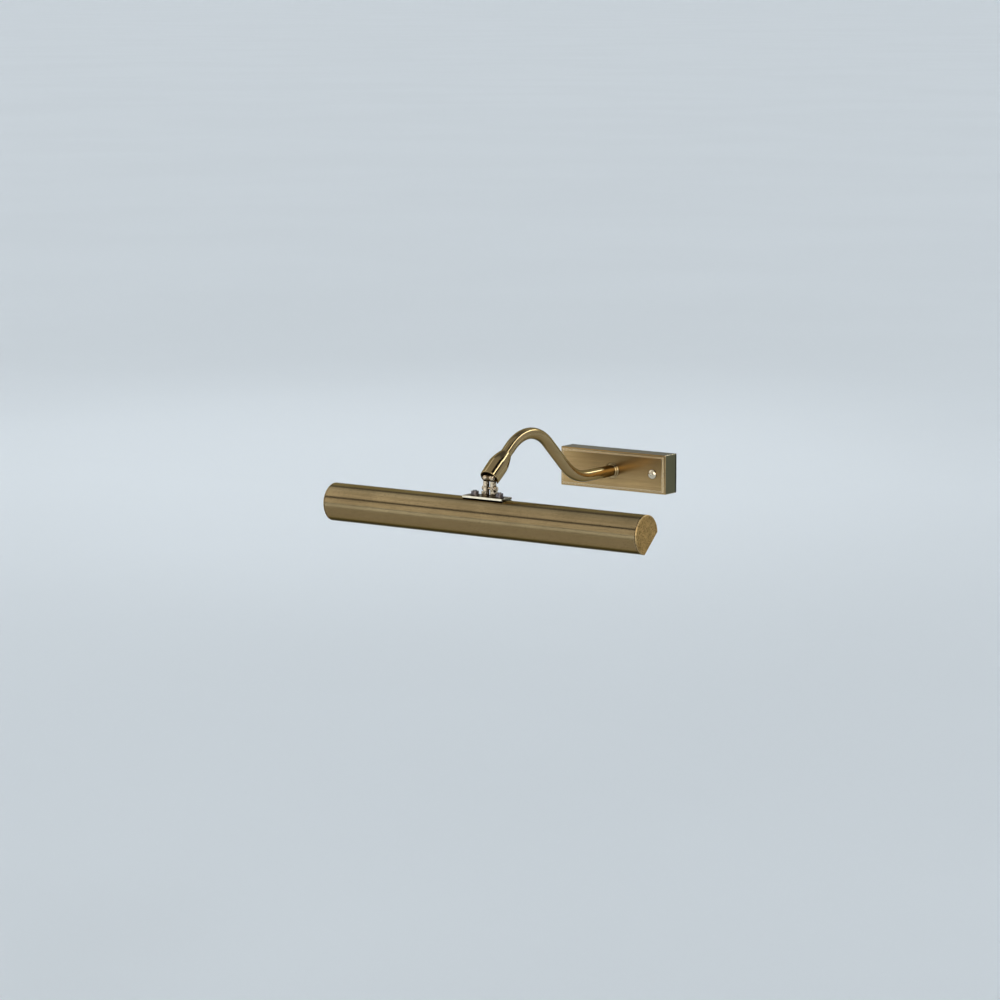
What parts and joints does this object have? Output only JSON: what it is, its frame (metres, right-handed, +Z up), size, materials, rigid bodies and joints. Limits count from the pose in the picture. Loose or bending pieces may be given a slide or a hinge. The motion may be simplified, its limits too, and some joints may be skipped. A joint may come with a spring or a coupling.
{
  "type": "picture light",
  "caption": "Wall picture light: a shallow rectangular wall box, a bent round arm and a long D-section tubular shade that tilts on a forked knuckle.",
  "frame": {"origin": "on the wall face, behind the centre of the wall box", "axes": "+Y into the wall, -Y out into the room, +Z up, X along the shade"},
  "size_m": [0.37, 0.2632, 0.099],
  "materials": {
    "antique_brass": "satin antique bronze, long brushed grain",
    "cast_brass": "semi-bright",
    "dark_steel": "dark plated",
    "plated_steel": "zinc plated",
    "white_moulding": "matte",
    "black_rubber": "matte",
    "lead_sheath": "satin",
    "clear_glass": "clear",
    "lamp_cap_metal": "bright",
    "filament_wire": "matte"
  },
  "bodies": {
    "wall_mount": {"back_plate": "plated_steel", "box_cover": "antique_brass", "screw_pillar": "plated_steel", "cover_screw": "cast_brass", "cable_grommet": "black_rubber", "terminal_block": "white_moulding", "terminal_screws": "plated_steel", "earth_screw": "plated_steel", "arm_collar": "antique_brass", "arm_nipple": "plated_steel", "arm_washer": "plated_steel", "arm_lock_nut": "plated_steel", "arm_tube": "antique_brass", "arm_flex": "lead_sheath", "arm_sleeve": "antique_brass", "knuckle_eye": "cast_brass", "arm_cores": "lead_sheath"},
    "lamp_head": {"shade_shell": "antique_brass", "end_cap_left": "antique_brass", "end_cap_right": "antique_brass", "fork_leg_left": "cast_brass", "fork_leg_right": "cast_brass", "saddle_plate": "cast_brass", "pivot_screw": "cast_brass", "pivot_nut": "cast_brass", "clamp_screw": "cast_brass", "clamp_nut": "cast_brass", "saddle_screws": "dark_steel", "saddle_nuts": "dark_steel", "saddle_washers": "dark_steel", "backing_strip": "plated_steel", "holder_bracket": "plated_steel", "holder_nut_left": "plated_steel", "holder_nut_right": "plated_steel", "lampholder_left": "white_moulding", "lampholder_right": "white_moulding", "shade_grommet": "black_rubber", "shade_leads": "lead_sheath", "lamp_glass_left": "clear_glass", "lamp_glass_right": "clear_glass", "lamp_cap_left": "lamp_cap_metal", "lamp_cap_right": "lamp_cap_metal", "lamp_filament_left": "filament_wire", "lamp_filament_right": "filament_wire"}
  },
  "joints": [
    {"name": "shade_tilt", "type": "hinge", "parent": "wall_mount", "child": "lamp_head", "pos_m": [0, -0.2379, 0.01771], "axis": [1, 0, 0], "range_deg": [-70, 25]}
  ]
}
